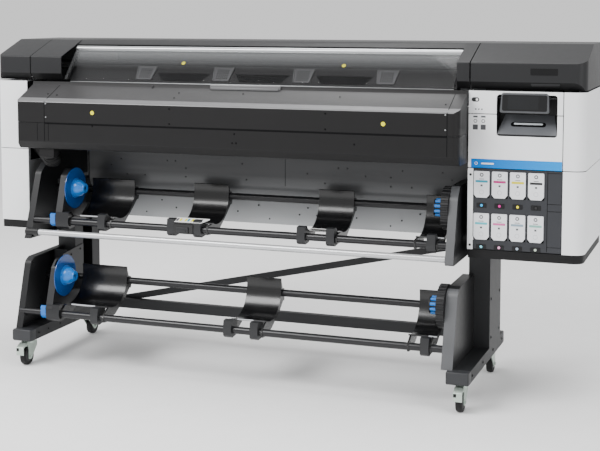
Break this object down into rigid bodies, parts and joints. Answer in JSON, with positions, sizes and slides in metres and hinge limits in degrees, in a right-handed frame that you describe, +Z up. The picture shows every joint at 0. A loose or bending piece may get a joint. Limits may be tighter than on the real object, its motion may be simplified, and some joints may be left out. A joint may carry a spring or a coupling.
{
  "type": "wide format roll printer",
  "caption": "Free-standing wide roll-fed printer on a castered stand, with take-up and supply roll stations, ink bay, tilting display and lifting window.",
  "frame": {"origin": "centre of the machine's footprint on the floor", "axes": "+X to the machine's right seen from the front, +Y to the rear, +Z up"},
  "size_m": [2.583, 0.77, 1.402],
  "materials": {
    "frame_steel": "fine textured powder coat",
    "panel_white": "fine satin moulding texture",
    "cover_dark": "fine leather-like moulding grain",
    "module_dark": "fine moulding grain",
    "tray_black": "matte",
    "rear_sheet": "satin paint",
    "media_sheet": "satin paint",
    "hose_black": "corrugated",
    "guide_black": "smooth polished",
    "bar_dark": "satin",
    "diverter_white": "satin",
    "roller_steel": "fine ground",
    "fork_zinc": "pale zinc plate",
    "wheel_black": "matte tread",
    "hub_blue": "glossy, slightly translucent",
    "lever_blue": "glossy",
    "drive_black": "satin",
    "window_clear": "clear smoked pane",
    "display_grey": "gloss with dark glass",
    "button_grey": "satin",
    "carriage_dark": "satin",
    "cartridge_white": "satin",
    "rack_dark": "fine grain",
    "cheek_steel": "satin powder coat",
    "cheek_plastic": "moulding grain",
    "recess_black": "matte"
  },
  "bodies": {
    "root": {"left_leg": "frame_steel", "right_leg": "frame_steel", "leg_braces": "frame_steel", "chassis_frame": "frame_steel", "base_trays": "tray_black", "left_side_panels": "panel_white", "right_side_panels": "panel_white", "back_panel": "rear_sheet", "left_top_covers": "cover_dark", "rear_top_covers": "cover_dark", "module_upper_shell": "module_dark", "module_lower_shell": "module_dark", "exhaust_hose": "hose_black", "media_plate": "media_sheet", "fascia_upper": "panel_white", "fascia_lower": "panel_white", "panel_recess": "recess_black", "cartridge_rack": "rack_dark", "upper_left_cheek": "cheek_steel", "upper_right_cheek": "cheek_plastic", "lower_left_cheek": "cheek_steel", "lower_right_cheek": "cheek_plastic", "roll_bars": "bar_dark", "diverter_bar": "diverter_white", "end_deflectors": "guide_black"},
    "front_left_fork": {"front_left_fork": "fork_zinc"},
    "front_left_wheel": {"front_left_wheel": "wheel_black"},
    "front_right_fork": {"front_right_fork": "fork_zinc"},
    "front_right_wheel": {"front_right_wheel": "wheel_black"},
    "rear_left_fork": {"rear_left_fork": "fork_zinc"},
    "rear_left_wheel": {"rear_left_wheel": "wheel_black"},
    "rear_right_fork": {"rear_right_fork": "fork_zinc"},
    "rear_right_wheel": {"rear_right_wheel": "wheel_black"},
    "front_left_pedal": {"front_left_pedal": "drive_black"},
    "front_right_pedal": {"front_right_pedal": "drive_black"},
    "upper_hub_arm": {"upper_hub_arm": "guide_black"},
    "upper_hub_disc": {"upper_hub_disc": "hub_blue"},
    "upper_lock_lever": {"upper_lock_lever": "lever_blue"},
    "upper_drive_wheel": {"upper_drive_wheel": "drive_black"},
    "lower_hub_arm": {"lower_hub_arm": "guide_black"},
    "lower_hub_disc": {"lower_hub_disc": "hub_blue"},
    "lower_lock_lever": {"lower_lock_lever": "lever_blue"},
    "lower_drive_wheel": {"lower_drive_wheel": "drive_black"},
    "upper_deflector_a": {"upper_deflector_a": "guide_black"},
    "upper_deflector_b": {"upper_deflector_b": "guide_black"},
    "lower_deflector": {"lower_deflector": "guide_black"},
    "window_lid": {"window_lid": "window_clear"},
    "right_top_cover": {"right_top_cover": "cover_dark"},
    "display": {"display": "display_grey"},
    "power_button": {"power_button": "button_grey"},
    "print_carriage": {"print_carriage": "carriage_dark"},
    "feed_roller": {"feed_roller": "roller_steel"},
    "cartridge_1": {"cartridge_1": "cartridge_white"},
    "cartridge_2": {"cartridge_2": "cartridge_white"},
    "cartridge_3": {"cartridge_3": "cartridge_white"},
    "cartridge_4": {"cartridge_4": "cartridge_white"},
    "cartridge_5": {"cartridge_5": "cartridge_white"},
    "cartridge_6": {"cartridge_6": "cartridge_white"},
    "cartridge_7": {"cartridge_7": "cartridge_white"},
    "cartridge_8": {"cartridge_8": "cartridge_white"}
  },
  "joints": [
    {"name": "front_left_swivel", "type": "hinge", "parent": "root", "child": "front_left_fork", "pos_m": [-1.056, -0.31, 0.1], "axis": [0, 0, 1], "continuous": true},
    {"name": "front_left_roll", "type": "hinge", "parent": "front_left_fork", "child": "front_left_wheel", "pos_m": [-1.056, -0.33, 0.0375], "axis": [1, 0, 0], "continuous": true},
    {"name": "front_right_swivel", "type": "hinge", "parent": "root", "child": "front_right_fork", "pos_m": [0.862, -0.31, 0.1], "axis": [0, 0, 1], "continuous": true},
    {"name": "front_right_roll", "type": "hinge", "parent": "front_right_fork", "child": "front_right_wheel", "pos_m": [0.862, -0.33, 0.0375], "axis": [1, 0, 0], "continuous": true},
    {"name": "rear_left_swivel", "type": "hinge", "parent": "root", "child": "rear_left_fork", "pos_m": [-1.056, 0.225, 0.1], "axis": [0, 0, 1], "continuous": true},
    {"name": "rear_left_roll", "type": "hinge", "parent": "rear_left_fork", "child": "rear_left_wheel", "pos_m": [-1.056, 0.245, 0.0375], "axis": [1, 0, 0], "continuous": true},
    {"name": "rear_right_swivel", "type": "hinge", "parent": "root", "child": "rear_right_fork", "pos_m": [0.862, 0.225, 0.1], "axis": [0, 0, 1], "continuous": true},
    {"name": "rear_right_roll", "type": "hinge", "parent": "rear_right_fork", "child": "rear_right_wheel", "pos_m": [0.862, 0.245, 0.0375], "axis": [1, 0, 0], "continuous": true},
    {"name": "front_left_brake", "type": "hinge", "parent": "front_left_fork", "child": "front_left_pedal", "pos_m": [-1.056, -0.344, 0.097], "axis": [1, 0, 0], "range_deg": [0, 12]},
    {"name": "front_right_brake", "type": "hinge", "parent": "front_right_fork", "child": "front_right_pedal", "pos_m": [0.862, -0.344, 0.097], "axis": [1, 0, 0], "range_deg": [0, 12]},
    {"name": "upper_hub_slide", "type": "slide", "parent": "root", "child": "upper_hub_arm", "axis": [1, 0, 0], "range_m": [-0.03, 0.12]},
    {"name": "upper_disc_spin", "type": "hinge", "parent": "upper_hub_arm", "child": "upper_hub_disc", "pos_m": [-0.9, -0.128, 0.753], "axis": [1, 0, 0], "continuous": true},
    {"name": "upper_lock_turn", "type": "hinge", "parent": "upper_hub_arm", "child": "upper_lock_lever", "pos_m": [-0.97, -0.218, 0.618], "axis": [1, 0, 0], "range_deg": [0, 80]},
    {"name": "upper_drive_spin", "type": "hinge", "parent": "root", "child": "upper_drive_wheel", "pos_m": [0.76, -0.128, 0.753], "axis": [1, 0, 0], "continuous": true},
    {"name": "lower_hub_slide", "type": "slide", "parent": "root", "child": "lower_hub_arm", "axis": [1, 0, 0], "range_m": [-0.03, 0.28]},
    {"name": "lower_disc_spin", "type": "hinge", "parent": "lower_hub_arm", "child": "lower_hub_disc", "pos_m": [-0.9, -0.228, 0.382], "axis": [1, 0, 0], "continuous": true},
    {"name": "lower_lock_turn", "type": "hinge", "parent": "lower_hub_arm", "child": "lower_lock_lever", "pos_m": [-0.97, -0.308, 0.23], "axis": [1, 0, 0], "range_deg": [0, 80]},
    {"name": "lower_drive_spin", "type": "hinge", "parent": "root", "child": "lower_drive_wheel", "pos_m": [0.76, -0.228, 0.382], "axis": [1, 0, 0], "continuous": true},
    {"name": "upper_guide_a_slide", "type": "slide", "parent": "root", "child": "upper_deflector_a", "axis": [1, 0, 0], "range_m": [-0.13, 0.12]},
    {"name": "upper_guide_b_slide", "type": "slide", "parent": "root", "child": "upper_deflector_b", "axis": [1, 0, 0], "range_m": [-0.24, 0.28]},
    {"name": "lower_guide_slide", "type": "slide", "parent": "root", "child": "lower_deflector", "axis": [1, 0, 0], "range_m": [-0.25, 0.55]},
    {"name": "window_open", "type": "hinge", "parent": "root", "child": "window_lid", "pos_m": [0, 0, 1.362], "axis": [-1, 0, 0], "range_deg": [0, 70]},
    {"name": "service_cover_open", "type": "hinge", "parent": "root", "child": "right_top_cover", "pos_m": [1.068, 0.377, 1.397], "axis": [-1, 0, 0], "range_deg": [0, 60]},
    {"name": "display_tilt", "type": "hinge", "parent": "root", "child": "display", "pos_m": [1.059, -0.112, 1.196], "axis": [-1, 0, 0], "range_deg": [-14, 0]},
    {"name": "power_press", "type": "slide", "parent": "root", "child": "power_button", "axis": [0, 1, 0], "range_m": [0, 0.0025], "stiffness_N_per_m": 400},
    {"name": "carriage_travel", "type": "slide", "parent": "root", "child": "print_carriage", "axis": [1, 0, 0], "range_m": [-2, 0.06]},
    {"name": "feed_roller_spin", "type": "hinge", "parent": "root", "child": "feed_roller", "pos_m": [-0.09, 0.224, 1.136], "axis": [1, 0, 0], "continuous": true},
    {"name": "cartridge_1_pull", "type": "slide", "parent": "root", "child": "cartridge_1", "axis": [0, -1, 0], "range_m": [0, 0.18]},
    {"name": "cartridge_2_pull", "type": "slide", "parent": "root", "child": "cartridge_2", "axis": [0, -1, 0], "range_m": [0, 0.18]},
    {"name": "cartridge_3_pull", "type": "slide", "parent": "root", "child": "cartridge_3", "axis": [0, -1, 0], "range_m": [0, 0.18]},
    {"name": "cartridge_4_pull", "type": "slide", "parent": "root", "child": "cartridge_4", "axis": [0, -1, 0], "range_m": [0, 0.18]},
    {"name": "cartridge_5_pull", "type": "slide", "parent": "root", "child": "cartridge_5", "axis": [0, -1, 0], "range_m": [0, 0.18]},
    {"name": "cartridge_6_pull", "type": "slide", "parent": "root", "child": "cartridge_6", "axis": [0, -1, 0], "range_m": [0, 0.18]},
    {"name": "cartridge_7_pull", "type": "slide", "parent": "root", "child": "cartridge_7", "axis": [0, -1, 0], "range_m": [0, 0.18]},
    {"name": "cartridge_8_pull", "type": "slide", "parent": "root", "child": "cartridge_8", "axis": [0, -1, 0], "range_m": [0, 0.18]}
  ]
}
